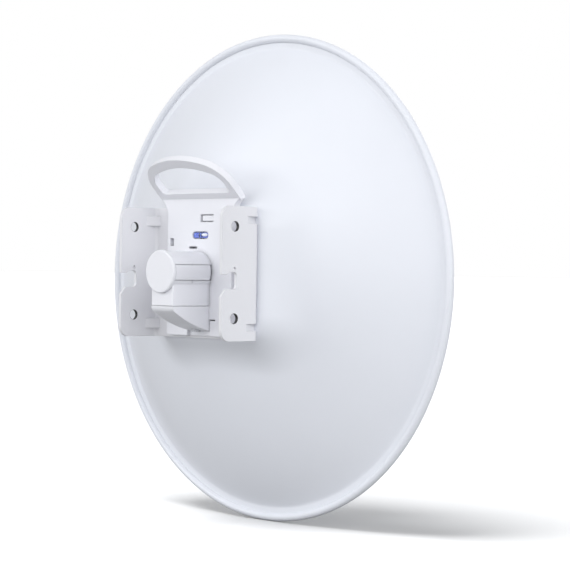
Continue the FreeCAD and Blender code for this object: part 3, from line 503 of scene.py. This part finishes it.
def lathe_x(name, profile, centre, steps=40):
    """A closed surface turned about the line along X through centre, from (x, radius) pairs."""
    mesh = bpy.data.meshes.new(name)
    shape = bmesh.new()
    rings = []
    for x, radius in profile:
        turn = [math.tau * k / steps for k in range(steps)]
        spots = [Vector((x, radius * math.cos(a), radius * math.sin(a))) for a in turn]
        rings.append([shape.verts.new(centre + spot) for spot in spots])
    for ring, after in zip(rings, rings[1:]):
        for k in range(steps):
            shape.faces.new((ring[k], ring[(k + 1) % steps], after[(k + 1) % steps], after[k]))
    shape.faces.new(reversed(rings[0]))
    shape.faces.new(rings[-1])
    bmesh.ops.recalc_face_normals(shape, faces=shape.faces)
    shape.to_mesh(mesh)
    shape.free()
    mesh.shade_smooth()
    made = bpy.data.objects.new(name, mesh)
    bpy.context.scene.collection.objects.link(made)
    return made


def bubble_profile(half, radius, steps=14):
    """Half sections of a long bubble: blunt ends and a slight waist."""
    points = []
    for k in range(steps + 1):
        a = math.pi * k / steps
        along = -math.cos(a)
        round_end = max(math.sin(a), 0.04) ** 0.55
        waist = 1 - 0.06 * math.cos(a * 2) ** 2
        points.append((half * along, radius * round_end * waist))
    return points


def make_level_details(finishes):
    """The bubble and the two mark rings that a spirit level is read by."""
    low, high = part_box(LEVEL_NODE)
    fluid_low, fluid_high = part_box("level_fluid")
    length = fluid_high.x - fluid_low.x
    radius = (fluid_high.z - fluid_low.z) / 2
    height = (fluid_low.z + fluid_high.z) / 2

    bubble_half = length * BUBBLE_SHARE
    bubble_place = fluid_low.x + bubble_half + length * BUBBLE_GAP
    bubble_centre = Vector((bubble_place, high.y - BUBBLE_DEPTH, height + 0.15 * radius))
    bubble = lathe_x("level_bubble", bubble_profile(bubble_half, radius * 0.66), bubble_centre)
    finish = Finish("bubble_white", (0.93, 0.95, 1.0), 0.08).set(IOR=1.33, Coat_Weight=0.5)
    finish.tint(finish.remap(finish.noise(1.5 * MM, 2), 0, 1, 0.4, 0.7), (0.72, 0.8, 0.97), 0.5)
    bubble.data.materials.append(finish.done())
    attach(bubble, ANTENNA)

    ink = Finish("level_marks", (0.012, 0.02, 0.06), 0.4)
    ink.tint(ink.remap(ink.noise(0.4 * MM, 2), 0, 1, 0.4, 0.7), (0.03, 0.05, 0.12), 0.6)
    ink = ink.done()
    for side, share in MARK_SHARES.items():
        capsule_radius = (high.z - low.z) / 2
        crest = capsule_radius + MARK_RISE
        foot = crest - 0.05 * MM
        half = MARK_WIDTH / 2
        bulge = [(-half, foot), (-half / 2, crest), (half / 2, crest), (half, foot)]
        ring_centre = Vector((fluid_low.x + length * share, high.y - capsule_radius, height))
        mark = lathe_x(f"level_mark_{side}", bulge, ring_centre)
        mark.data.materials.append(ink)
        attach(mark, ANTENNA)


# ---------------------------------------------------------------- stage


def direction(azimuth, elevation):
    """The unit vector from the object towards a place given by azimuth and elevation in degrees."""
    a, e = math.radians(azimuth), math.radians(elevation)
    return Vector((math.sin(a) * math.cos(e), -math.cos(a) * math.cos(e), math.sin(e)))


def make_floor():
    """A wide pale floor. It looks white to the camera and throws only a little light back up."""
    bpy.ops.mesh.primitive_grid_add(size=FLOOR_SIZE, x_subdivisions=8, y_subdivisions=8)
    floor = bpy.context.object
    floor.name = "floor"
    floor.location.z = CAD_BOX[0].z
    finish = Finish("floor_paper", (FLOOR_SEEN,) * 3, 0.9).set(Specular_IOR_Level=0.0)
    finish.tint(finish.remap(finish.noise(0.4, 3), 0, 1, 0.4, 0.7), (FLOOR_SEEN * 0.985,) * 3, 1.0)
    path = finish.node("ShaderNodeLightPath")
    finish.tint(finish.math("SUBTRACT", 1.0, path.outputs["Is Camera Ray"]), (FLOOR_BOUNCE,) * 3)
    floor.data.materials.append(finish.done())
    return floor


def make_dome():
    """White to the camera; to everything else, a sky that is brightest at the horizon and dim below."""
    world = bpy.data.worlds.new("studio")
    bpy.context.scene.world = world
    world.use_nodes = True
    tree = world.node_tree
    background = tree.nodes["Background"]
    coordinates = tree.nodes.new("ShaderNodeTexCoord")
    split = tree.nodes.new("ShaderNodeSeparateXYZ")
    tree.links.new(coordinates.outputs["Generated"], split.inputs[0])
    ramp = tree.nodes.new("ShaderNodeValToRGB")
    height = tree.nodes.new("ShaderNodeMapRange")
    height.inputs["From Min"].default_value = -1
    tree.links.new(split.outputs["Z"], height.inputs["Value"])
    tree.links.new(height.outputs["Result"], ramp.inputs["Fac"])
    stops = ((0.0, DOME_BOTTOM), (0.5, DOME_HORIZON), (1.0, DOME_TOP))
    ramp.color_ramp.elements.new(0.5)
    for element, (place, level) in zip(ramp.color_ramp.elements, stops):
        element.position = place
        element.color = (*[level * c for c in COOL_WHITE], 1.0)
    path = tree.nodes.new("ShaderNodeLightPath")
    choice = tree.nodes.new("ShaderNodeMix")
    choice.data_type = "RGBA"
    tree.links.new(path.outputs["Is Camera Ray"], choice.inputs[0])
    tree.links.new(ramp.outputs["Color"], choice.inputs[6])
    choice.inputs[7].default_value = (1.0, 1.0, 1.0, 1.0)
    tree.links.new(choice.outputs[2], background.inputs["Color"])


def make_light(name, azimuth, elevation, strength, softness, only=None):
    """A soft distant lamp. With `only`, it lights that object and nothing else."""
    lamp = bpy.data.lights.new(name, "SUN")
    lamp.energy = strength
    lamp.angle = math.radians(softness)
    lamp.color = COOL_WHITE
    made = bpy.data.objects.new(name, lamp)
    made.rotation_mode = "QUATERNION"
    made.rotation_quaternion = direction(azimuth, elevation).to_track_quat("Z", "Y")
    bpy.context.scene.collection.objects.link(made)
    if only:
        lit = bpy.data.collections.new(f"{name}_lit")
        lit.objects.link(only)
        made.light_linking.receiver_collection = lit


def make_camera():
    low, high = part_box("reflector")
    target = Vector(((low.x + high.x) / 2, low.y + 3.5 * MM, (low.z + high.z) / 2))
    back = direction(CAMERA_AZIMUTH, CAMERA_ELEVATION)
    right = Vector((0, 0, 1)).cross(back).normalized()
    up = back.cross(right)
    roll = math.radians(CAMERA_ROLL)
    rolled_right = right * math.cos(roll) + up * math.sin(roll)
    rolled_up = up * math.cos(roll) - right * math.sin(roll)
    camera = bpy.data.cameras.new("camera")
    camera.lens = CAMERA_LENS
    camera.sensor_width = CAMERA_SENSOR
    camera.shift_x, camera.shift_y = CAMERA_SHIFT
    camera.clip_start, camera.clip_end = 0.05, 100.0
    made = bpy.data.objects.new("camera", camera)
    axes = Matrix((rolled_right, rolled_up, back)).transposed().to_4x4()
    made.matrix_world = Matrix.Translation(target + back * CAMERA_DISTANCE) @ axes
    bpy.context.scene.collection.objects.link(made)
    bpy.context.scene.camera = made


finishes = make_finishes()
paint_nodes(finishes)
make_dish(finishes["dish_paint"])
make_level_details(finishes)
floor = make_floor()
make_dome()
make_light("key", **KEY)
make_light("fill", **FILL)
make_light("front", **FRONT)
make_light("behind", **BEHIND)
make_light("floor_light", **FLOOR_LIGHT, only=floor)
make_camera()
bpy.context.scene.view_settings.view_transform = "Standard"
